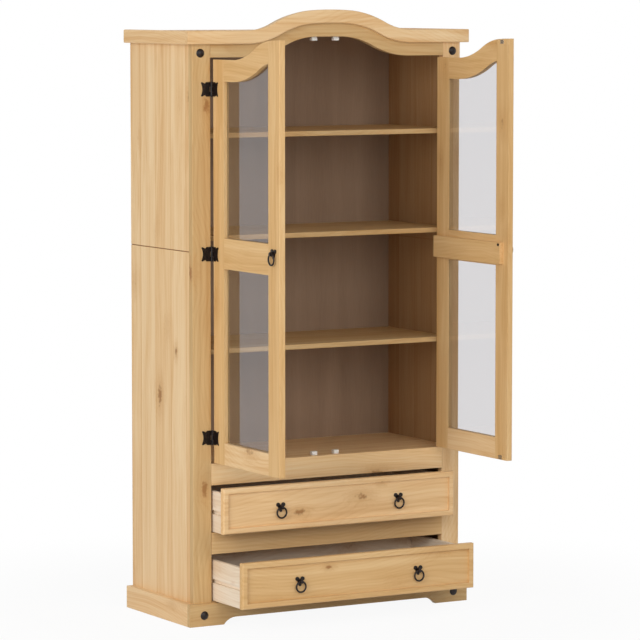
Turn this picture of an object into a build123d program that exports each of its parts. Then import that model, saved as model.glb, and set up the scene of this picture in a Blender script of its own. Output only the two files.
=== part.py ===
from build123d import *
import math
import os

os.makedirs("parts", exist_ok=True)

# Carcass, in mm: the origin is on the floor under the middle of the rear plinth rail
width = 914
depth = 392
post_wide = 60
rail_thick = 22
panel_thick = 20
back_thick = 10
rebate = 10
seam_z = 1098
seam_vee = 2
top_board_thick = 18
top_board_z = 1719
softened = 2

# Arch family: every curved edge on the front is this line moved by an offset
flat_z = 1661.5
crown_z = 1721.4
crown_radius = 860
shoulder_radius = 240
foot_radius = 283
reach = 280
door_top = -5.5
glass_top = -68.5
cornice_low = 38.5
cornice_high = 78

# Cornice and plinth
cornice_proud = 15
cornice_side = 22
cornice_round = 4
frieze_step = 3
plinth_high = 66
plinth_proud = 16
plinth_side = 21
cut_half = 365
cut_radius = 50
cut_high = 20
stud_radius = 13
stud_dome = 6
stud_edge = 27
stud_high_z = 1674.5
stud_low_z = 32

# Rails, floor and shelves
opening_low = (68, 208)
opening_high = (272, 412)
floor_z = 476
floor_thick = 18
shelf_tops = (810, 1142, 1441.5)
shelf_thick = 15
shelf_setback = 2
shelf_gap = 0.5
peg_radius = 2.5
peg_long = 18
peg_seat = 10
peg_inset = 45

# Doors
door_gap = 3
door_thick = 18
door_low = 479
stile = 65
bottom_rail = 64
mid_rail = (1052, 1140.5)
groove_deep = 10
pane_back = 12
pane_thick = 3
pane_play = 1
batten_z = (1056.7, 1120.5)
batten_end = 367
batten_thick = 12

# Butterfly hinges
axis_proud = 4
hinge_zs = (553.5, 1091.5, 1570)
hinge_high = 42
knuckle_radius = 3.6
pin_radius = 1.6
pin_fit = 0.05
pin_tip = 1.5
leaf_thick = 1.6
leaf_waist = 16
leaf_notch = (20, 16.5)
leaf_horn = (30, 21)
leaf_tip = (33, 19)
leaf_hollow = 28
knuckle_gap = 0.4
leaf_clear = 4.4

# Ring pulls
ring_radius = 15.6
wire_radius = 2.6
ring_stand = 9
eye_radius = 6.6
eye_half = 4
eye_bore = 3.5
plate_thick = 3
ear = (8.6, 7.6, 6.2)
lobe = (9.5, 4.8)
bolt_radius = 2
bolt_fit = 0.3
bolt_cap = (4, 2.5)
door_pull = (361, 1114)

# Catches and strikes
catch_x = 37
catch_wide = 17
catch_high = 8
catch_deep = 13
catch_clear = 0.5
catch_top_z = 1708
catch_flange = 3
strike_high = 12
strike_thick = 1
strike_zs = (480.5, 1700.5)

# Drawers
front_play = 1.5
front_drop = 2.5
front_thick = 18
front_round = 4
border = 16
recess = 7
side_thick = 12
side_high = 120
side_inset = 6
box_deep = 330
runner_slot = 12
slot_deep = 8
slot_z = 58
slot_play = 0.5
runner_block = 40
runner_stop = 32
bottom_thick = 6
bottom_rise = 8
bottom_let = 6
pull_x = 202
pull_rise = 0.5
upper_out = 72
lower_out = 186

# Planes worked out from the sizes above
close = 0.01
height_room = 2 * crown_z
half = width / 2
back = rail_thick / 2
face = back - depth
behind_rail = face + rail_thick
inner_back = back - back_thick
side_inner = half - panel_thick
post_inner = half - post_wide
axis_x = post_inner - door_gap / 2
axis_y = face - axis_proud


def save(name, shape):
    """Writes one named piece as its own file."""
    export_step(shape, f"parts/{name}.step")


def joined(solids):
    """Several separate solids kept together as one piece."""
    return Compound(children=list(solids))


def block(x, y, z):
    """A box between pairs of planes in x, y and z."""
    size = [b - a for a, b in (x, y, z)]
    return Pos(*[(a + b) / 2 for a, b in (x, y, z)]) * Box(*size)


def board(outline, y, thick):
    """An outline drawn in x and z, extruded back from y by thick."""
    return Pos(0, y + thick, 0) * Rot(90, 0, 0) * extrude(outline, thick, dir=(0, 0, 1))


def edges_at(shape, axis, value):
    """The edges whose middle lies at a value along an axis."""
    return shape.edges().filter_by_position(axis, value - close, value + close)


def both_sides(shape):
    """A left piece and its mirror image on the right."""
    return [shape, mirror(shape, Plane.YZ)]


def arc_between(start, end, centre, radius):
    """The short arc of a circle from start to end."""
    middle = (start + end) / 2 - centre
    return ThreePointArc(start, centre + middle.normalized() * radius, end)


def under_arch(offset, x, low):
    """The face under the arch line moved by offset, between two x and above low.

    Each half is three tangent arcs: a foot that leaves the flat, a shoulder, and the crown.
    """
    crown_c = Vector(0, crown_z - crown_radius)
    foot_c = Vector(reach, flat_z + foot_radius)
    inner = crown_radius - shoulder_radius
    outer = shoulder_radius + foot_radius
    span = (foot_c - crown_c).length
    along = (foot_c - crown_c).normalized()
    t = (inner**2 - outer**2 + span**2) / (2 * span)
    rise = math.sqrt(inner**2 - t**2)
    shoulder_c = crown_c + along * t + Vector(-along.Y, along.X) * rise
    if shoulder_c.Y < (crown_c + along * t).Y:
        shoulder_c = crown_c + along * t - Vector(-along.Y, along.X) * rise
    flat_end = Vector(reach, flat_z + offset)
    foot_end = shoulder_c + (foot_c - shoulder_c).normalized() * (shoulder_radius + offset)
    crown_end = crown_c + (shoulder_c - crown_c).normalized() * (crown_radius + offset)
    edges = [
        arc_between(flat_end, foot_end, foot_c, foot_radius - offset),
        arc_between(foot_end, crown_end, shoulder_c, shoulder_radius + offset),
    ]
    mirrored = [mirror(e, Plane.YZ) for e in edges]
    left_end = Vector(-crown_end.X, crown_end.Y)
    top = Vector(0, crown_z + offset)
    far = Vector(width, flat_z + offset)
    near = Vector(-width, flat_z + offset)
    outline = [
        Line(far, flat_end),
        *edges,
        ThreePointArc(crown_end, top, left_end),
        *mirrored,
        Line(Vector(-reach, flat_z + offset), near),
        Polyline(near, (-width, 0), (width, 0), far),
    ]
    whole = make_face(outline)
    window = Pos(sum(x) / 2, low + height_room / 2) * Rectangle(x[1] - x[0], height_room)
    return whole & window


# Side panels: two stacked sections a side, with a vee at the seam and a rebate for the back
for side, mirrored in (("left", False), ("right", True)):
    sections = []
    for low, high in ((0, seam_z), (seam_z, top_board_z)):
        section = block((-half, -side_inner), (behind_rail, back), (low, high))
        rim = edges_at(section, Axis.Z, seam_z).filter_by(Axis.Y).sort_by(Axis.X)[:1]
        sections.append(chamfer(rim, seam_vee))
    shape = sections[0] + sections[1]
    shape -= block((-half + rebate, -side_inner), (inner_back, back), (plinth_high, top_board_z))
    for top in shelf_tops:
        for y in (behind_rail + shelf_setback + peg_inset, inner_back - peg_inset):
            hole = Cylinder(peg_radius + pin_fit, 2 * peg_seat, rotation=(0, 90, 0))
            shape -= Pos(-side_inner, y, top - shelf_thick - peg_radius) * hole
    if mirrored:
        shape = mirror(shape, Plane.YZ)
    save(f"{side}_side_panels", shape)

# Posts, front rails and the arched frieze between the posts
post = block((-half, -post_inner), (face, behind_rail), (0, top_board_z + top_board_thick))
post = fillet(post.edges().filter_by(Axis.Z).sort_by(Axis.Y)[:2], softened)
save("left_post", post)
save("right_post", mirror(post, Plane.YZ))
frieze_line = cornice_high - frieze_step
between_posts = (-post_inner, post_inner)
frieze = board(under_arch(frieze_line, between_posts, flat_z) - under_arch(0, between_posts, 0), face, rail_thick)
save("arched_frieze", frieze)
rail_x = (-post_inner, post_inner)
save("door_rail", block(rail_x, (face, behind_rail), (opening_high[1], floor_z)))
low_rail = block(rail_x, (face, behind_rail), (cut_high, opening_low[0]))
mid_drawer_rail = block(rail_x, (face, behind_rail), (opening_low[1], opening_high[0]))
save("drawer_rails", joined([low_rail, mid_drawer_rail]))

# Cornice: an arched band glued to the frieze, with straight returns down both sides
ends = (-half - cornice_side, half + cornice_side)
band = under_arch(cornice_high, ends, flat_z) - under_arch(cornice_low, ends, 0)
cornice = board(band, face - cornice_proud, cornice_proud)
nose = edges_at(cornice, Axis.Y, face - cornice_proud)
save("arched_cornice", fillet(nose.filter_by(lambda e: abs(e.center().X) < half), cornice_round))
cornice_z = (flat_z + cornice_low, flat_z + cornice_high)
cornice_return = block((-half - cornice_side, -half), (face, back), cornice_z)
return_edges = edges_at(cornice_return, Axis.X, -half - cornice_side).filter_by(Axis.Y)
save("cornice_returns", joined(both_sides(fillet(return_edges, cornice_round))))
top_y = (behind_rail, back)
save("top_board", block((-half, half), top_y, (top_board_z, top_board_z + top_board_thick)))

# Back panel, cabinet floor and the rear plinth rail
back_x = (-half + rebate, half - rebate)
save("back_panel", block(back_x, (inner_back, back), (plinth_high, top_board_z)))
inner_x = (-side_inner, side_inner)
save("cabinet_floor", block(inner_x, (behind_rail, inner_back), (floor_z - floor_thick, floor_z)))
save("rear_plinth_rail", block(inner_x, (-back, back), (0, plinth_high)))

# Plinth: the front board has a long cut-out that ends in quarter curves
plinth_x = (-half - plinth_side, half + plinth_side)
plinth = block(plinth_x, (face - plinth_proud, face), (0, plinth_high))
turn = math.sqrt(cut_radius**2 - (cut_radius - cut_high) ** 2)
cut_flat = cut_half - turn
corner = Vector(cut_flat, cut_high)
toe = Vector(cut_half, 0)
curve = arc_between(corner, toe, Vector(cut_flat, cut_high - cut_radius), cut_radius)
cut_lines = [Line((-cut_flat, cut_high), corner), curve, mirror(curve, Plane.YZ), Line((-cut_half, 0), toe)]
plinth -= board(make_face(cut_lines), face - plinth_proud, plinth_proud)
top_front = edges_at(plinth, Axis.Z, plinth_high).sort_by(Axis.Y)[:1]
save("plinth_front", fillet(top_front, softened))
plinth_return = block((-half - plinth_side, -half), (face, back), (0, plinth_high))
top_side = edges_at(plinth_return, Axis.Z, plinth_high).sort_by(Axis.X)[:1]
save("plinth_sides", joined(both_sides(fillet(top_side, softened))))

# Shelves rest on four pegs each, let into the side panels
shelf_y = (behind_rail + shelf_setback, inner_back - shelf_gap)
shelf_x = (-side_inner + shelf_gap, side_inner - shelf_gap)
pegs = []
for name, top in zip(("bottom_shelf", "middle_shelf", "top_shelf"), shelf_tops):
    shelf = block(shelf_x, shelf_y, (top - shelf_thick, top))
    nosing = shelf.edges().filter_by(Axis.X).sort_by(Axis.Y)[:2]
    save(name, fillet(nosing, softened))
    for y in (behind_rail + shelf_setback + peg_inset, inner_back - peg_inset):
        peg = Cylinder(peg_radius, peg_long, rotation=(0, 90, 0))
        x = -side_inner - peg_seat + peg_long / 2
        pegs += both_sides(Pos(x, y, top - shelf_thick - peg_radius) * peg)
save("shelf_pegs", joined(pegs))

# Domed studs at the corners of the frieze and the plinth
dome = (stud_radius**2 + stud_dome**2) / (2 * stud_dome)
studs = []
for z, y in ((stud_high_z, face), (stud_low_z, face - plinth_proud)):
    ball = Pos(-half + stud_edge, y + dome - stud_dome, z) * Sphere(dome)
    cap = ball & Pos(-half + stud_edge, y - stud_dome, z) * Box(3 * stud_radius, 2 * stud_dome, 3 * stud_radius)
    studs += both_sides(cap)
save("corner_studs", joined(studs))

# Catches: the upper pair hangs behind the frieze, the lower pair stands on the floor board
catch_y = face + door_thick + strike_thick + catch_clear
x0 = -catch_x - catch_wide / 2
x1 = -catch_x + catch_wide / 2
catch_body = block((x0, x1), (catch_y, catch_y + catch_deep), (catch_top_z, catch_top_z + catch_high))
flange_y = (behind_rail, behind_rail + catch_flange)
flange = block((x0, x1), flange_y, (catch_top_z, top_board_z))
low_catch = block((x0, x1), (catch_y, catch_y + catch_deep), (floor_z, floor_z + catch_high + catch_flange))
save("door_catches", joined(both_sides(catch_body + flange) + both_sides(low_catch)))


def wing(direction, thick_y):
    """Half of a butterfly leaf, from the hinge axis out to its hollow-edged tip."""
    top = [(0, hinge_high / 2), (leaf_waist, hinge_high / 2), leaf_notch, leaf_horn, leaf_tip]
    low = [(u, -z) for u, z in top]
    sides = [Polyline(*top), Polyline(*low), Line(top[0], low[0])]
    outline = make_face([*sides, ThreePointArc(leaf_tip, (leaf_hollow, 0), low[-1])])
    if direction < 0:
        outline = mirror(outline, Plane.YZ)
    return board(outline, thick_y, leaf_thick)


def knuckled(direction, spans, others):
    """One leaf of a hinge about the origin: its wing, its own knuckles and room for the others."""
    leaf = wing(direction, axis_proud - leaf_thick)
    room = knuckle_gap / 2
    for low, high in others:
        gap_x = (-leaf_clear, leaf_clear)
        leaf -= block(gap_x, (0, 2 * axis_proud), (low - room, high + room))
    for low, high in spans:
        barrel = Cylinder(knuckle_radius, high - low - knuckle_gap)
        neck = block(sorted((0, direction * leaf_clear)), (axis_proud - leaf_thick, axis_proud), (low + room, high - room))
        leaf += Pos(0, 0, (low + high) / 2) * barrel + neck
    return leaf - Cylinder(pin_radius + pin_fit, 2 * hinge_high)


third = hinge_high / 3
outer_spans = [(-hinge_high / 2, -third / 2), (third / 2, hinge_high / 2)]
middle_span = [(-third / 2, third / 2)]
post_leaf = knuckled(-1, outer_spans, middle_span)
door_leaf = knuckled(1, middle_span, outer_spans)
pin = Cylinder(pin_radius, hinge_high + 2 * pin_tip)
hinge_at = [Pos(-axis_x, axis_y, z) for z in hinge_zs]
save("post_hinge_leaves", joined(s for p in hinge_at for s in both_sides(p * post_leaf)))
save("hinge_pins", joined(s for p in hinge_at for s in both_sides(p * pin)))


def pull_plate(bolt_long):
    """A three-lobed plate with the eye that carries the ring and a bolt through the wood."""
    ears = [Pos(s * ear[0], ear[1]) * Circle(ear[2]) for s in (-1, 1)]
    spread = ear[0] + ear[2] / 2
    body = Polygon((-spread, ear[1]), (spread, ear[1]), (lobe[1], -lobe[0]), (-lobe[1], -lobe[0]), align=None)
    outline = ears[0] + ears[1] + body + Pos(0, -lobe[0]) * Circle(lobe[1])
    plate = board(outline, -plate_thick, plate_thick)
    eye = Pos(0, -ring_stand, 0) * Cylinder(eye_radius, 2 * eye_half, rotation=(0, 90, 0))
    stem = block((-eye_half, eye_half), (-ring_stand, -plate_thick / 2), (-eye_radius, eye_radius))
    bore = Pos(0, -ring_stand, 0) * Cylinder(eye_bore, 4 * eye_half, rotation=(0, 90, 0))
    shank = bolt_long + plate_thick
    bolt = Pos(0, bolt_long - shank / 2, 0) * Cylinder(bolt_radius, shank, rotation=(90, 0, 0))
    cap = Pos(0, bolt_long + bolt_cap[1] / 2, 0) * Cylinder(*bolt_cap, rotation=(90, 0, 0))
    return plate + eye + stem - bore + bolt + cap


def pull_ring():
    """A round wire ring hanging in the eye."""
    return Pos(0, -ring_stand, -ring_radius) * Rot(90, 0, 0) * Torus(ring_radius, wire_radius)


def bolt_hole(x, z):
    """A clearance hole from front to back at x and z."""
    return Pos(x, face, z) * Cylinder(bolt_radius + bolt_fit, 10 * door_thick, rotation=(90, 0, 0))


# Doors, drawn closed: the left one first, as a glazed frame of grooved stiles and rails
door_x = (-post_inner + door_gap, -door_gap / 2)
inner_edges = (door_x[0] + stile, door_x[1] - stile)
groove_y = (face + pane_back, face + pane_back + pane_thick)
frame_z = (door_low, mid_rail[1])
pull_at = (-axis_x + door_pull[0], door_pull[1])


def frame_board(outline):
    return board(outline, face, door_thick)


def softened_face(shape, keep):
    """Rounds the long front edges chosen by keep."""
    return fillet(edges_at(shape, Axis.Y, face).filter_by(keep), softened)


def groove(x, z):
    return block(x, groove_y, z)


def tenoned(shape, z):
    """Adds the stub tenons that fill the stile grooves at both ends of a rail."""
    for a, b in ((inner_edges[0] - groove_deep, inner_edges[0]), (inner_edges[1], inner_edges[1] + groove_deep)):
        shape += groove((a, b), z)
    return shape


hinge_stile = frame_board(under_arch(door_top, (door_x[0], inner_edges[0]), door_low))
hinge_stile = softened_face(hinge_stile, lambda e: e.center().X < door_x[0] + 1)
hinge_stile -= groove((inner_edges[0] - groove_deep, inner_edges[0]), (door_low, crown_z))
meeting_stile = frame_board(under_arch(door_top, (inner_edges[1], door_x[1]), door_low))
meeting_stile = softened_face(meeting_stile, lambda e: e.center().X > door_x[1] - 1)
meeting_stile -= groove((inner_edges[1], inner_edges[1] + groove_deep), (door_low, crown_z))
meeting_stile -= bolt_hole(*pull_at)
between = inner_edges
tongue_top = mid_rail[0] + groove_deep
low_rail_z = (door_low, door_low + bottom_rail)
low_door_rail = tenoned(block(between, (face, face + door_thick), low_rail_z), (door_low, low_rail_z[1] - groove_deep))
low_door_rail -= groove(between, (low_rail_z[1] - groove_deep, low_rail_z[1]))
mid_tenon = (mid_rail[0] + groove_deep, mid_rail[1] - groove_deep)
mid_door_rail = tenoned(block(between, (face, face + door_thick), mid_rail), mid_tenon)
mid_door_rail -= groove(between, (mid_rail[0], mid_tenon[0])) + groove(between, (mid_tenon[1], mid_rail[1]))
top_rail = frame_board(under_arch(door_top, between, flat_z / 2) - under_arch(glass_top, between, 0))
let_in = (inner_edges[0] - groove_deep, inner_edges[1] + groove_deep)
tenon_top = under_arch(door_top, let_in, flat_z / 2) - under_arch(glass_top + groove_deep, let_in, 0)
slot = under_arch(glass_top + groove_deep, between, flat_z / 2)
top_rail -= board(slot, groove_y[0], pane_thick)
top_rail += board(tenon_top, groove_y[0], pane_thick)
pane_edge = groove_deep - pane_play
pane_x = (inner_edges[0] - pane_edge, inner_edges[1] + pane_edge)
low_pane = block(pane_x, groove_y, (low_rail_z[1] - groove_deep, mid_rail[0] + pane_edge))
high_pane = board(under_arch(glass_top + pane_edge, pane_x, mid_tenon[1]), groove_y[0], pane_thick)
batten_x = (door_x[0], -axis_x + batten_end)
batten_y = (face + door_thick, face + door_thick + batten_thick)
batten = block(batten_x, batten_y, batten_z) - bolt_hole(*pull_at)
strikes = []
for z in strike_zs:
    strike_y = (face + door_thick, face + door_thick + strike_thick)
    strikes.append(block((x0, x1), strike_y, (z, z + strike_high)))
face_point = Pos(pull_at[0], face, pull_at[1])
door_pieces = {
    "door_hinge_stile": hinge_stile,
    "door_meeting_stile": meeting_stile,
    "door_top_rail": top_rail,
    "door_middle_rail": mid_door_rail,
    "door_bottom_rail": low_door_rail,
    "door_glass": joined([low_pane, high_pane]),
    "door_batten": batten,
    "door_hinge_leaves": joined(p * door_leaf for p in hinge_at),
    "door_pull_plate": face_point * pull_plate(door_thick + batten_thick),
    "door_pull_ring": face_point * pull_ring(),
    "door_strikes": joined(strikes),
}

# Both doors stand open at right angles, turned about their hinge pins
swing = Pos(-axis_x, axis_y, 0) * Rot(0, 0, -90) * Pos(axis_x, -axis_y, 0)
for name, shape in door_pieces.items():
    opened = swing * shape
    save(f"left_{name}", opened)
    save(f"right_{name}", mirror(opened, Plane.YZ))

# Drawers: a panelled front on a grooved box, pulled out along its runners
front_half = post_inner - front_play
box_half = post_inner - side_inset
box_y = (face + front_thick, face + front_thick + box_deep)
runners = []
for level, opening, out in (("upper", opening_high, upper_out), ("lower", opening_low, lower_out)):
    low = opening[0] + front_drop
    high = opening[1] - front_drop
    front = block((-front_half, front_half), (face, face + front_thick), (low, high))
    front = fillet(front.faces().sort_by(Axis.Y)[0].edges(), front_round)
    panel_x = (-front_half + border, front_half - border)
    front -= block(panel_x, (face, face + recess), (low + border, high - border))
    bottom_z = (low + bottom_rise, low + bottom_rise + bottom_thick)
    bottom_x = (-box_half + side_thick - bottom_let, box_half - side_thick + bottom_let)
    bottom = block(bottom_x, (box_y[0] - bottom_let, box_y[1]), bottom_z)
    front -= bottom
    side = block((-box_half, -box_half + side_thick), box_y, (low, low + side_high))
    slot_band = (low + slot_z - runner_slot / 2, low + slot_z + runner_slot / 2)
    side -= block((-box_half, -box_half + slot_deep), box_y, slot_band)
    side -= bottom
    box_back_y = (box_y[1] - side_thick, box_y[1])
    back_half = box_half - side_thick
    box_back = block((-back_half, back_half), box_back_y, (bottom_z[1], low + side_high))
    pull_z = (low + high) / 2 + pull_rise
    seat_y = face + recess
    plates = []
    for x in (-pull_x, pull_x):
        front -= bolt_hole(x, pull_z)
        plates.append(Pos(x, seat_y, pull_z) * pull_plate(front_thick - recess))
    pieces = {
        "drawer_front": front,
        "drawer_sides": joined(both_sides(side)),
        "drawer_back": box_back,
        "drawer_bottom": bottom,
        "drawer_pull_plates": joined(plates),
        "drawer_left_ring": Pos(-pull_x, seat_y, pull_z) * pull_ring(),
        "drawer_right_ring": Pos(pull_x, seat_y, pull_z) * pull_ring(),
    }
    for name, shape in pieces.items():
        save(f"{level}_{name}", Pos(0, -out, 0) * shape)
    runner_y = (behind_rail, inner_back - runner_stop)
    middle = low + slot_z
    filler_z = (middle - runner_block / 2, middle + runner_block / 2)
    filler = block((-side_inner, -box_half - front_play), runner_y, filler_z)
    tongue_z = (slot_band[0] + slot_play, slot_band[1] - slot_play)
    tongue = block((-box_half - front_play, -box_half + slot_deep - slot_play), runner_y, tongue_z)
    runners += both_sides(filler + tongue)
save("drawer_runners", joined(runners))
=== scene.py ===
import math

import bpy
import numpy as np
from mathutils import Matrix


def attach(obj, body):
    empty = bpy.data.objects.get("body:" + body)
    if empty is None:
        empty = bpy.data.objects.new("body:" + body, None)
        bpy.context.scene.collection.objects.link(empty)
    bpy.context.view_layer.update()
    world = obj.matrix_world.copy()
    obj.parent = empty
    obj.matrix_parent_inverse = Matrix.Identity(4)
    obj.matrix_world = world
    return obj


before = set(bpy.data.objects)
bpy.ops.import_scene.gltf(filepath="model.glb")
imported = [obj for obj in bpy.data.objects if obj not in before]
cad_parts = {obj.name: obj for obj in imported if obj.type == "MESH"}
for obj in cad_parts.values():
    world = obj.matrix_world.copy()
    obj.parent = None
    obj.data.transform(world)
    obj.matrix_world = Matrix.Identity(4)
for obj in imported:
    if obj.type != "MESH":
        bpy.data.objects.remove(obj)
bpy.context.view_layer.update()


# SIDE PANELS AND POSTS
# Each side is two stacked panels glued up from narrow pine boards, with a post of one board at
# the front. The wood is soft, knotty pine, sanded and rubbed with honey-coloured wax, so its
# growth lines show as broad pale and darker streaks under a low sheen.
def linear(hex_colour):
    """An sRGB hex colour as linear RGBA: ((c + 0.055) / 1.055) ** 2.4 above the toe."""
    c = np.array([int(hex_colour[i:i + 2], 16) / 255 for i in (1, 3, 5)])
    c = np.where(c > 0.04045, ((c + 0.055) / 1.055) ** 2.4, c / 12.92)
    return (*[float(v) for v in c], 1.0)


def add(tree, kind, inputs=None, **settings):
    """Adds a node: settings are its properties, inputs its values or the sockets it is fed from."""
    node = tree.nodes.new("ShaderNode" + kind)
    for key, value in settings.items():
        setattr(node, key, value)
    for key, value in (inputs or {}).items():
        if isinstance(value, bpy.types.NodeSocket):
            tree.links.new(value, node.inputs[key])
        else:
            node.inputs[key].default_value = value
    return node


def new_material(name, **shader_values):
    """A material whose shader has these values on its own sockets."""
    material = bpy.data.materials.new(name)
    material.use_nodes = True
    tree = material.node_tree
    shader = tree.nodes["Principled BSDF"]
    for key, value in shader_values.items():
        shader.inputs[key.replace("_", " ")].default_value = value
    return material, tree, shader


# the turn that brings each grain direction onto z, and the dark, middle and light tones of a board
TURN = {"x": (0, -math.pi / 2, 0), "y": (math.pi / 2, 0, 0), "z": (0, 0, 0)}
golden = ("#DAAD76", "#E6C18F", "#EFD0A3")
# darker tones of the same pine, painted shade for pieces that stand in less light
painted_shade_tones = ("#C0965E", "#CAA672", "#D5B684")


def pine(name, grain, seed, board=0.0, wide=0, tones=golden, inner=None, marks=(), seam=None):
    """Waxed pine sawn from a log that lies along grain.

    Growth rings are cylinders about a wandering pith: r = length(across - pith(along)), and the
    tone follows r / ring width. Boards glued edge to edge get their own pith and tone. Knots are
    the nearest of scattered cells and of the given marks, by a length that counts less along the
    grain, and the rings bend round them.

    seed picks the place in the log, board is the width of a glued board and wide the axis across
    it, inner is the colour of the painted shade on the faces inside the case and the half width of
    the case that it covers, marks are (x, y, z, size), and seam is the height of the painted
    shadow line where the two panels meet.
    """
    material, tree, shader = new_material(name, Roughness=0.5, Specular_IOR_Level=0.4)
    place = add(tree, "TexCoord").outputs["Object"]
    turned = add(tree, "Mapping", {"Vector": place, "Rotation": TURN[grain]}, vector_type="POINT")
    in_log = (0.37 * seed, 0.53 * seed, 1.71 * seed)
    moved = add(tree, "VectorMath", {0: turned.outputs[0], 1: in_log})
    if board:
        # boards lie side by side along this axis, each from its own place in the log
        along_width = add(tree, "SeparateXYZ", {0: moved.outputs[0]}).outputs[wide]
        strip = add(tree, "Math", {0: along_width, 1: board}, operation="DIVIDE")
        index = add(tree, "Math", {0: strip.outputs[0]}, operation="FLOOR").outputs[0]
        own = add(tree, "TexWhiteNoise", {"W": index}, noise_dimensions="1D")
        board_apart = (0.2, 0.2, 3.0)
        jump = add(tree, "VectorMath", {0: own.outputs["Color"], 1: board_apart}, operation="MULTIPLY")
        moved = add(tree, "VectorMath", {0: moved.outputs[0], 1: jump.outputs[0]})
        board_tone = own.outputs["Value"]
        # the glue line is 0.2 mm wide, drawn 4 mm to show
        glue_line = 0.004
        from_edge = add(tree, "Math", {0: strip.outputs[0]}, operation="FRACT").outputs[0]
        joint = add(tree, "Math", {0: from_edge, 1: glue_line / board}, operation="LESS_THAN").outputs[0]

    # the pith wanders up to 40 mm in half a metre, and the fibres follow a third of it
    slow = add(tree, "Mapping", {"Vector": moved.outputs[0], "Scale": (1.2, 1.2, 0.9)})
    wander = add(tree, "TexNoise", {"Vector": slow.outputs[0], "Scale": 2.2, "Detail": 1.5})
    mean = (0.5, 0.5, 0.5)
    drift = add(tree, "VectorMath", {0: wander.outputs["Color"], 1: mean}, operation="SUBTRACT")
    drift = add(tree, "VectorMath", {0: drift.outputs[0], "Scale": 0.16}, operation="SCALE")
    bent = add(tree, "VectorMath", {0: moved.outputs[0], 1: drift.outputs[0]})
    little = add(tree, "VectorMath", {0: drift.outputs[0], "Scale": 0.35}, operation="SCALE")
    straight = add(tree, "VectorMath", {0: moved.outputs[0], 1: little.outputs[0]})

    # one ragged knot in every cell of 140 mm across the grain and 310 mm along it, with a dark core
    # of about 16 mm by 36 mm and round it 40 mm of warmer wood, where the rings bulge
    across_cells, along_cells = 7.0, 3.2
    cell_scale = (across_cells, across_cells, along_cells)
    cells = add(tree, "Mapping", {"Vector": moved.outputs[0], "Scale": cell_scale})
    knot = add(tree, "TexVoronoi", {"Vector": cells.outputs[0], "Scale": 1.0, "Randomness": 1.0})
    distance = knot.outputs["Distance"]
    per_metre = [along_cells if axis == grain else across_cells for axis in "xyz"]
    for *centre, size in marks:
        offset = add(tree, "VectorMath", {0: place, 1: centre}, operation="SUBTRACT")
        scaled = [value / size for value in per_metre]
        oval = add(tree, "VectorMath", {0: offset.outputs[0], 1: scaled}, operation="MULTIPLY")
        away = add(tree, "VectorMath", {0: oval.outputs[0]}, operation="LENGTH").outputs["Value"]
        distance = add(tree, "Math", {0: distance, 1: away}, operation="MINIMUM").outputs[0]
    ragged = add(tree, "TexNoise", {"Vector": place, "Scale": 90.0, "Detail": 2.0})
    edge = add(tree, "Math", {0: ragged.outputs[0], 1: 0.12, 2: distance}, operation="MULTIPLY_ADD")
    near = add(tree, "MapRange", {0: edge.outputs[0], 1: 0.07, 2: 0.36, 3: 1.0, 4: 0.0},
               interpolation_type="SMOOTHERSTEP")
    core = add(tree, "MapRange", {0: edge.outputs[0], 1: 0.085, 2: 0.15, 3: 0.9, 4: 0.0},
               interpolation_type="SMOOTHSTEP")

    # rings 7 mm wide: real ones are 3 to 5 mm, too fine to show at this distance
    ring_wide, bulge_high, taper = 0.007, 0.012, 0.03
    flat = add(tree, "VectorMath", {0: bent.outputs[0], 1: (1.0, 1.0, taper)}, operation="MULTIPLY")
    radius = add(tree, "VectorMath", {0: flat.outputs[0]}, operation="LENGTH").outputs["Value"]
    bulge = add(tree, "Math", {0: near.outputs[0], 1: bulge_high, 2: radius}, operation="MULTIPLY_ADD")
    ring = add(tree, "Math", {0: bulge.outputs[0], 1: ring_wide}, operation="DIVIDE")
    saw = add(tree, "Math", {0: ring.outputs[0]}, operation="FRACT")
    growth = add(tree, "ValToRGB", {0: saw.outputs[0]})
    stops = growth.color_ramp.elements
    stops[0].color = (0.35, 0.35, 0.35, 1)
    stops[1].color = (0.30, 0.30, 0.30, 1)
    for where, value in ((0.12, 0.12), (0.55, 0.3), (0.88, 1.0)):
        stops.new(where).color = (value, value, value, 1)

    # bands of 40 mm, streaks of 10 mm and fibres of about 2 mm, all many times longer
    drawn = []
    for stretch, scale, detail in ((0.04, 26.0, 2.0), (0.012, 100.0, 2.0), (0.01, 420.0, 3.0)):
        long = add(tree, "Mapping", {"Vector": straight.outputs[0], "Scale": (1.0, 1.0, stretch)})
        noise = add(tree, "TexNoise", {"Vector": long.outputs[0], "Scale": scale, "Detail": detail})
        drawn.append(noise.outputs[0])
    bands, streaks, fibres = drawn

    # each layer is a socket, its mean value and its weight in the tone
    layers = [(bands, 0.5, 0.9), (streaks, 0.5, 0.8), (fibres, 0.5, 0.3), (growth.outputs[0], 0.4, -0.17)]
    if board:
        layers += [(board_tone, 0.5, 0.35), (joint, 0.0, -0.4)]
    tone = 0.5 - sum(middle * weight for _, middle, weight in layers)
    for socket, _, weight in layers:
        tone = add(tree, "Math", {0: socket, 1: weight, 2: tone}, operation="MULTIPLY_ADD").outputs[0]
    colour = add(tree, "ValToRGB", {0: tone})
    stops = colour.color_ramp.elements
    stops[0].position, stops[0].color = 0.2, linear(tones[0])
    stops[1].position, stops[1].color = 0.85, linear(tones[2])
    stops.new(0.5).color = linear(tones[1])
    knot_wood, round_wood = linear("#8A5A2E"), linear("#C08C50")
    dark = add(tree, "Mix", {0: core.outputs[0], 6: colour.outputs[0], 7: knot_wood}, data_type="RGBA")
    halo = add(tree, "Math", {0: near.outputs[0], 1: 0.35}, operation="MULTIPLY")
    warm = add(tree, "Mix", {0: halo.outputs[0], 6: dark.outputs[2], 7: round_wood}, data_type="RGBA")
    result = warm.outputs[2]
    if inner:
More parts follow.
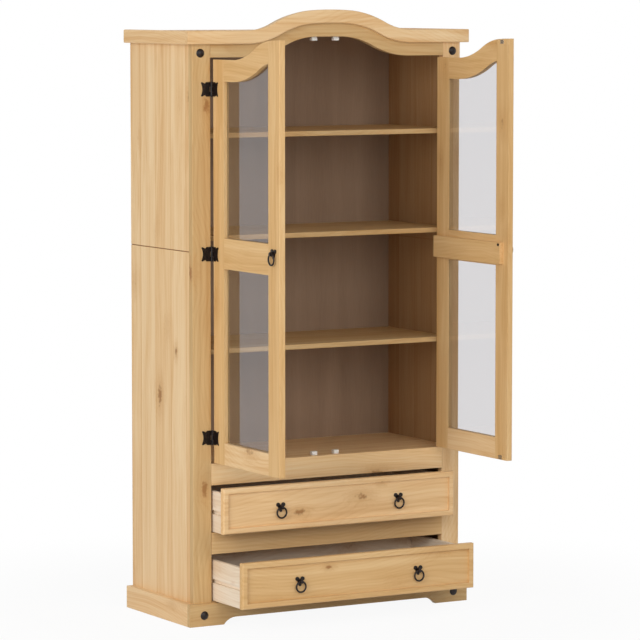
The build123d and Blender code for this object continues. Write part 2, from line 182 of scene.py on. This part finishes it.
        # the faces inside the case, by their distance from its middle plane, are darkened as painted shade
        stain_and_shade, half_width = inner
        across = add(tree, "SeparateXYZ", {0: place}).outputs[0]
        from_middle = add(tree, "Math", {0: across}, operation="ABSOLUTE").outputs[0]
        inside = add(tree, "Math", {0: from_middle, 1: half_width}, operation="LESS_THAN").outputs[0]
        darkened = add(tree, "Mix", {0: 1.0, 6: result, 7: linear(stain_and_shade)}, data_type="RGBA",
                      blend_type="MULTIPLY").outputs[2]
        result = add(tree, "Mix", {0: inside, 6: result, 7: darkened}, data_type="RGBA").outputs[2]
    if seam:
        # the shadow line where the two panels meet, about 2 mm, drawn 3 mm wide
        half_line, shadow = 0.0015, linear("#9A6E40")
        high = add(tree, "SeparateXYZ", {0: place}).outputs[2]
        line = add(tree, "Math", {0: high, 1: seam, 2: half_line}, operation="COMPARE").outputs[0]
        result = add(tree, "Mix", {0: line, 6: result, 7: shadow}, data_type="RGBA").outputs[2]
    tree.links.new(result, shader.inputs["Base Color"])

    # the late wood stands up a little, and the sawn edges are eased by sanding
    height = add(tree, "Math", {0: fibres, 1: 0.5, 2: growth.outputs[0]}, operation="MULTIPLY_ADD")
    eased = add(tree, "Bevel", {"Radius": 0.0015}, samples=4)
    bump = add(tree, "Bump", {"Strength": 0.12, "Distance": 0.0006, "Height": height.outputs[0],
                              "Normal": eased.outputs[0]})
    tree.links.new(bump.outputs[0], shader.inputs["Normal"])
    return material


def finish_node(name, material):
    """Gives a frame piece its material in every slot."""
    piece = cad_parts[name]
    piece.data.materials.clear()
    piece.data.materials.append(material)


# painted shade: the inner faces of the sides are darkened over the half width of the case
inside_painted_shade = ("#B6A79A", 0.4372)
side_board, seam_height = 0.096, 1.098
finish_node("left_side_panels", pine(
    "waxed pine left side", "z", 3, side_board, 1, inner=inside_painted_shade, seam=seam_height,
    marks=[(-0.457, -0.172, 0.662, 1.3), (-0.457, -0.275, 0.799, 0.6)]))
finish_node("right_side_panels", pine(
    "waxed pine right side", "z", 7, side_board, 1, inner=inside_painted_shade, seam=seam_height,
    marks=[(0.457, -0.21, 1.42, 1.1)]))
# the left post takes the darker tones, painted shade on its front
finish_node("left_post", pine(
    "waxed pine left post", "z", 11, tones=painted_shade_tones, marks=[(-0.42, -0.381, 0.404, 1.0)]))
finish_node("right_post", pine("waxed pine right post", "z", 14))

# ARCHED FRIEZE, CORNICE AND TOP
# The frieze is one board between the posts with an arch sawn in its lower edge. The cornice is
# a thicker board sawn to the same arch and glued in front, and straight returns run down the
# sides. The flat top board closes the case behind them.
# the frieze takes the darker tones, painted shade under the cornice
finish_node("arched_frieze", pine("waxed pine frieze", "x", 17, tones=painted_shade_tones))
finish_node("arched_cornice", pine("waxed pine cornice", "x", 19))
finish_node("cornice_returns", pine("waxed pine cornice returns", "y", 23))
finish_node("top_board", pine("waxed pine top", "x", 29, 0.09, 1))

# RAILS, FLOOR AND SHELVES
# The rails under the doors and between the drawers are single boards. The cabinet floor and the
# three shelves are glued up from boards, like the sides, and the shelves rest on steel pegs.
honey = ("#CFA266", "#DAB179", "#E4C08B")
# lighter tones for the door rail, painted light where the open doors shade it
painted_light_tones = ("#E2B77E", "#EEC893", "#F5D7A7")
finish_node("door_rail", pine("waxed pine door rail", "x", 31, tones=painted_light_tones))
finish_node("drawer_rails", pine("waxed pine drawer rails", "x", 37, tones=honey))
finish_node("cabinet_floor", pine("waxed pine cabinet floor", "x", 41, 0.08, 1))
# the shelves take the darker tones, painted shade inside the case behind the doors
for seed, name in enumerate(("top_shelf", "middle_shelf", "bottom_shelf"), 43):
    finish_node(name, pine("waxed pine " + name.replace("_", " "), "x", seed, 0.075, 1, painted_shade_tones))

# BACK PANEL
# A thin board pinned into the rebates of the sides and stained brown on both faces. The stain is
# flat and matt, with the veneer's faint upright figure showing through.
back_board, tree, shader = new_material("stained back board", Roughness=0.62)
place = add(tree, "TexCoord").outputs["Object"]
figure = add(tree, "Mapping", {"Vector": place, "Scale": (1.0, 1.0, 0.06)})
flame = add(tree, "TexNoise", {"Vector": figure.outputs[0], "Scale": 14.0, "Detail": 4.0, "Distortion": 0.6})
pores = add(tree, "TexNoise", {"Vector": figure.outputs[0], "Scale": 380.0, "Detail": 2.0})
mixed = add(tree, "Math", {0: pores.outputs[0], 1: 0.35, 2: flame.outputs[0]}, operation="MULTIPLY_ADD")
shade = add(tree, "ValToRGB", {0: mixed.outputs[0]})
for stop, where, stain_and_shade in zip(shade.color_ramp.elements, (0.35, 0.95), ("#866D57", "#9E846C")):
    stop.position = where
    stop.color = linear(stain_and_shade)
tree.links.new(shade.outputs[0], shader.inputs["Base Color"])
grainy = add(tree, "Bump", {"Strength": 0.1, "Distance": 0.0004, "Height": pores.outputs[0]})
tree.links.new(grainy.outputs[0], shader.inputs["Normal"])
finish_node("back_panel", back_board)

# PLINTH
# Three boards glued round the foot of the case, the front one with a long cut-out, and a rail
# that closes the back.
# the plinth front takes the darker tones, painted shade under the lower drawer
finish_node("plinth_front", pine("waxed pine plinth front", "x", 53, tones=painted_shade_tones))
finish_node("plinth_sides", pine("waxed pine plinth sides", "y", 59, marks=[(-0.469, -0.285, 0.053, 0.7)]))
finish_node("rear_plinth_rail", pine("waxed pine rear rail", "x", 61))

# DOOR FRAMES
# Stiles and rails of pine with grooved inner edges, joined by stub tenons. The top rail is sawn
# to the arch above it, and a batten is screwed across the back of the middle rail.
stile_knots = {
    "left_door_hinge_stile": [(-0.4, -0.462, 1.166, 0.4)],
    "left_door_meeting_stile": [(-0.4, -0.775, 1.339, 0.7), (-0.4, -0.785, 0.662, 0.5)],
    "right_door_hinge_stile": [(0.3825, -0.406, 1.342, 0.9)],
    "right_door_meeting_stile": [(0.3825, -0.744, 1.47, 1.0), (0.3825, -0.747, 1.218, 0.8)]}
door_boards = (
    ("hinge_stile", "z", 67, honey), ("meeting_stile", "z", 71, honey), ("top_rail", "y", 73, honey),
    ("middle_rail", "y", 79, honey), ("bottom_rail", "y", 83, golden), ("batten", "y", 89, honey))
for side, shift in (("left", 0), ("right", 100)):
    for board, grain, seed, tones in door_boards:
        name = f"{side}_door_{board}"
        finish_node(name, pine(
            f"waxed pine {side} " + board.replace("_", " "), grain, shift + seed, tones=tones,
            marks=stile_knots.get(name, ())))

# DOOR GLASS
# Two panes of 3 mm float glass a door, slid into the grooves. The glass is clear and clean with a
# faint grey cast, so the wood behind it shows through and the studio reflects softly.
glass, tree, shader = new_material(
    "clear float glass", Roughness=0.0, IOR=1.5, Transmission_Weight=1.0, Base_Color=linear("#E6E5E7"))
for side in ("left", "right"):
    finish_node(side + "_door_glass", glass)

# IRONWORK
# Hinges, pins, studs and pulls are cast and pressed iron, painted satin black. The paint sits in
# small hammer marks a few millimetres across and shines through a little on the high spots.
iron, tree, shader = new_material("black painted iron", Roughness=0.36, Specular_IOR_Level=0.3)
place = add(tree, "TexCoord").outputs["Object"]
marks = add(tree, "TexVoronoi", {"Vector": place, "Scale": 300.0, "Smoothness": 0.6}, feature="SMOOTH_F1")
worn = add(tree, "TexNoise", {"Vector": place, "Scale": 160.0, "Detail": 3.0})
paint = add(tree, "ValToRGB", {0: worn.outputs[0]})
for stop, where, tone in zip(paint.color_ramp.elements, (0.45, 0.75), ("#120B09", "#33231D")):
    stop.position = where
    stop.color = linear(tone)
tree.links.new(paint.outputs[0], shader.inputs["Base Color"])
dents = add(tree, "Bump", {"Strength": 0.5, "Distance": 0.0006, "Height": marks.outputs["Distance"]})
tree.links.new(dents.outputs[0], shader.inputs["Normal"])
door_iron = ("hinge_leaves", "pull_plate", "pull_ring")
drawer_iron = ("pull_plates", "left_ring", "right_ring")
ironwork = ["post_hinge_leaves", "hinge_pins", "corner_studs"]
ironwork += [f"{side}_door_{fitting}" for side in ("left", "right") for fitting in door_iron]
ironwork += [f"{level}_drawer_{fitting}" for level in ("upper", "lower") for fitting in drawer_iron]
for name in ironwork:
    finish_node(name, iron)

# HINGE SCREWS
# Two raised countersunk screws hold each hinge leaf, black like the iron. Each head shows as a
# very low dome with a dimple for the driver, low enough for the leaves to fold together.
def mesh_piece(name, points, faces, material):
    """A piece of one material, made of an array of points and lists of their numbers."""
    mesh = bpy.data.meshes.new(name)
    mesh.from_pydata(points.tolist(), [], faces)
    mesh.update()
    piece = bpy.data.objects.new(name, mesh)
    bpy.context.scene.collection.objects.link(piece)
    piece.data.materials.append(material)
    return piece


def screw_heads(name, centres, out, body):
    """Domes about out: height = rise * sqrt(1 - (r / rim) ** 2), less the dimple's depth inside it."""
    rise, rim, sides = 0.6e-3, 2.7e-3, 16
    dimple_deep, dimple_wide, dimple_floor = 0.35e-3, 0.95e-3, 0.2e-3
    out = np.array(out, dtype=float)
    up = np.array([0.0, 0.0, 1.0])
    across = np.cross(up, out)
    radius = np.array([0.9, 1.0, 1.6, 2.2, 2.6, 2.7]) * 1e-3
    height = rise * np.sqrt(1 - (radius / rim) ** 2) - np.where(radius < dimple_wide, dimple_deep, 0.0)
    turn = np.arange(sides) * math.tau / sides
    ring = np.cos(turn)[:, None] * across + np.sin(turn)[:, None] * up
    dome = radius[:, None, None] * ring + height[:, None, None] * out
    head = np.concatenate([dimple_floor * out[None], dome.reshape(-1, 3)])
    points = (np.array(centres)[:, None, :] + head).reshape(-1, 3)

    # point 0 is the dimple's middle, and the rings follow it from the inside out
    start = np.arange(sides)
    after = (start + 1) % sides
    fan = np.stack([0 * start, 1 + start, 1 + after], axis=1)
    band = np.stack([1 + start, 1 + sides + start, 1 + sides + after, 1 + after], axis=1)
    bands = (band[None] + sides * np.arange(len(radius) - 1)[:, None, None]).reshape(-1, 4)
    base = sides * len(radius) - start
    faces = []
    for first in range(0, len(points), len(head)):
        faces += (fan + first).tolist() + (bands + first).tolist() + [(base + first).tolist()]
    piece = mesh_piece(name, points, faces, iron)
    piece.data.polygons.foreach_set("use_smooth", np.ones(len(faces), dtype=bool))
    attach(piece, body)


pin_x, pin_y, from_pin = 0.3955, -0.385, 0.02
post_leaf_face, door_leaf_face = -0.38255, 0.40205
screw_z = [hinge_z + step for hinge_z in (0.5535, 1.0915, 1.57) for step in (-0.0125, 0.0125)]
on_posts = [(sign * (pin_x + from_pin), post_leaf_face, z) for sign in (-1, 1) for z in screw_z]
screw_heads("post_hinge_screws", on_posts, (0, -1, 0), "cabinet")
for side, sign in (("left", -1), ("right", 1)):
    on_door = [(sign * door_leaf_face, pin_y - from_pin, z) for z in screw_z]
    screw_heads(side + "_door_hinge_screws", on_door, (sign, 0, 0), side + "_door")

# CATCHES, STRIKES AND PEGS
# The catches are white moulded plastic cases with a magnet inside. The strikes on the doors and
# the shelf pegs are bright zinc-plated steel.
plastic, tree, shader = new_material("white moulded plastic", Roughness=0.42, Subsurface_Weight=0.05)
place = add(tree, "TexCoord").outputs["Object"]
mottle = add(tree, "TexNoise", {"Vector": place, "Scale": 900.0, "Detail": 2.0})
cast = add(tree, "ValToRGB", {0: mottle.outputs[0]})
cast.color_ramp.elements[0].color = linear("#E9E6DF")
cast.color_ramp.elements[1].color = linear("#F5F3EE")
tree.links.new(cast.outputs[0], shader.inputs["Base Color"])
skin = add(tree, "Bump", {"Strength": 0.1, "Distance": 0.0001, "Height": mottle.outputs[0]})
tree.links.new(skin.outputs[0], shader.inputs["Normal"])
finish_node("door_catches", plastic)
zinc, tree, shader = new_material("bright zinc plate", Metallic=1.0, Roughness=0.32)
place = add(tree, "TexCoord").outputs["Object"]
spangle = add(tree, "TexVoronoi", {"Vector": place, "Scale": 420.0})
plate = add(tree, "ValToRGB", {0: spangle.outputs["Distance"]})
plate.color_ramp.elements[0].color = linear("#B9BBBC")
plate.color_ramp.elements[1].color = linear("#D0D2D3")
tree.links.new(plate.outputs[0], shader.inputs["Base Color"])
for name in ("shelf_pegs", "left_door_strikes", "right_door_strikes"):
    finish_node(name, zinc)

# DRAWERS
# The fronts are waxed pine with a sunk field. The boxes behind are plain sanded pine, paler for
# having no wax, on runners of the same wood, with a thin grey-brown board for a bottom.
raw = ("#E8D2B6", "#F3E2CB", "#F9EDDD")
# the upper front is lighter than the lower, painted light where the left door shades it
front_tones = {"upper": ("#DEB079", "#EAC28D", "#F3D09F"), "lower": honey}
front_knots = {
    "upper": [(-0.136, -0.446, 0.323, 0.8), (0.145, -0.453, 0.389, 0.5)],
    "lower": [(-0.103, -0.56, 0.172, 0.5)]}
side_knots = {"upper": [(-0.385, -0.386, 0.351, 0.25)], "lower": [(-0.385, -0.501, 0.14, 0.3)]}
for level, shift in (("upper", 0), ("lower", 50)):
    finish_node(level + "_drawer_front", pine(
        f"waxed pine {level} drawer front", "x", shift + 97, tones=front_tones[level],
        marks=front_knots[level]))
    finish_node(level + "_drawer_sides", pine(
        f"sanded pine {level} drawer sides", "y", shift + 101, tones=raw, marks=side_knots[level]))
    finish_node(level + "_drawer_back", pine(
        f"sanded pine {level} drawer back", "x", shift + 103, tones=raw))
    finish_node(level + "_drawer_bottom", back_board)
finish_node("drawer_runners", pine("sanded pine runners", "y", 107, tones=raw))

# STUDIO
# A plain pale floor that sweeps up behind, soft light from the left and the front, and the camera
# of the photograph. To the camera, in glass and in gloss the world is white, and so is the floor
# away from the cabinet, while near its feet the floor keeps a little of the shadow.
def seen_share(tree):
    """A socket that is 1 for rays from the camera, in gloss or through glass, and 0 for others."""
    ray = add(tree, "LightPath").outputs
    seen = add(tree, "Math", {0: ray["Is Camera Ray"], 1: ray["Is Glossy Ray"]}, operation="MAXIMUM")
    seen = add(tree, "Math", {0: seen.outputs[0], 1: ray["Is Transmission Ray"]}, operation="MAXIMUM")
    return seen.outputs[0]


paper, tree, shader = new_material("pale studio paper", Roughness=0.9, Base_Color=linear("#E9E8E6"))
glow = add(tree, "Emission", {"Color": (1, 1, 1, 1), "Strength": 1.0})
place = add(tree, "TexCoord").outputs["Object"]
under_case = (0.0, -0.25, 0.0)
reach = add(tree, "VectorMath", {0: place, 1: under_case}, operation="DISTANCE")
far = add(tree, "MapRange", {0: reach.outputs["Value"], 1: 0.7, 2: 1.7, 3: 0.93, 4: 1.0},
          interpolation_type="SMOOTHSTEP")
share = add(tree, "Math", {0: seen_share(tree), 1: far.outputs[0]}, operation="MULTIPLY")
blend = add(tree, "MixShader", {0: share.outputs[0], 1: shader.outputs[0], 2: glow.outputs[0]})
tree.links.new(blend.outputs[0], tree.nodes["Material Output"].inputs["Surface"])

# the floor runs 28 m across and 22 m deep, and rises 3 m over its last 6 m: z = 3 * (run / 6) ** 2
half_wide, near_end, bend, far_end = 14, -8, 8, 14
rows, columns = 23, 15
below_feet = 0.0005
across, along = np.meshgrid(np.linspace(-half_wide, half_wide, columns), np.linspace(near_end, far_end, rows))
rise = np.where(along > bend, 3.0 * ((along - bend) / (far_end - bend)) ** 2, 0.0)
points = np.stack([across, along, rise - below_feet], axis=-1).reshape(-1, 3)
corner = (np.arange(rows - 1)[:, None] * columns + np.arange(columns - 1)).ravel()
quads = np.stack([corner, corner + 1, corner + columns + 1, corner + columns], axis=1)
mesh_piece("studio_floor", points, quads.tolist(), paper)

world = bpy.data.worlds.new("soft studio")
bpy.context.scene.world = world
world.use_nodes = True
tree = world.node_tree
strength = add(tree, "MapRange", {0: seen_share(tree), 1: 0.0, 2: 1.0, 3: 0.45, 4: 1.0})
background = tree.nodes["Background"].inputs
tree.links.new(strength.outputs[0], background["Strength"])
background["Color"].default_value = (1, 1, 1, 1)


def soft_box(name, place, watts):
    """A square area lamp of 3 m at place that faces the middle of the cabinet."""
    aim = (0, -0.2, 0.9)
    lamp = bpy.data.lights.new(name, "AREA")
    lamp.size = 3.0
    lamp.energy = watts
    holder = bpy.data.objects.new(name, lamp)
    holder.location = place
    back = np.array(place) - np.array(aim)
    flat = math.hypot(back[0], back[1])
    holder.rotation_euler = (math.atan2(flat, back[2]), 0, math.atan2(back[0], -back[1]))
    bpy.context.scene.collection.objects.link(holder)


soft_box("left soft box", (-5.6, -3.4, 2.6), 178)
soft_box("front soft box", (-0.8, -6.5, 2.9), 96)

camera = bpy.data.cameras.new("camera")
camera.sensor_width = 36
camera.lens = 200.262
camera.clip_end = 100
pitch, yaw = 0.0920686, 0.5236991
eye = bpy.data.objects.new("camera", camera)
eye.location = (-5.28934, -9.48781, 1.85270)
eye.rotation_euler = (math.pi / 2 - pitch, 0, -yaw)
bpy.context.scene.collection.objects.link(eye)
bpy.context.scene.camera = eye
bpy.context.scene.view_settings.view_transform = "Standard"
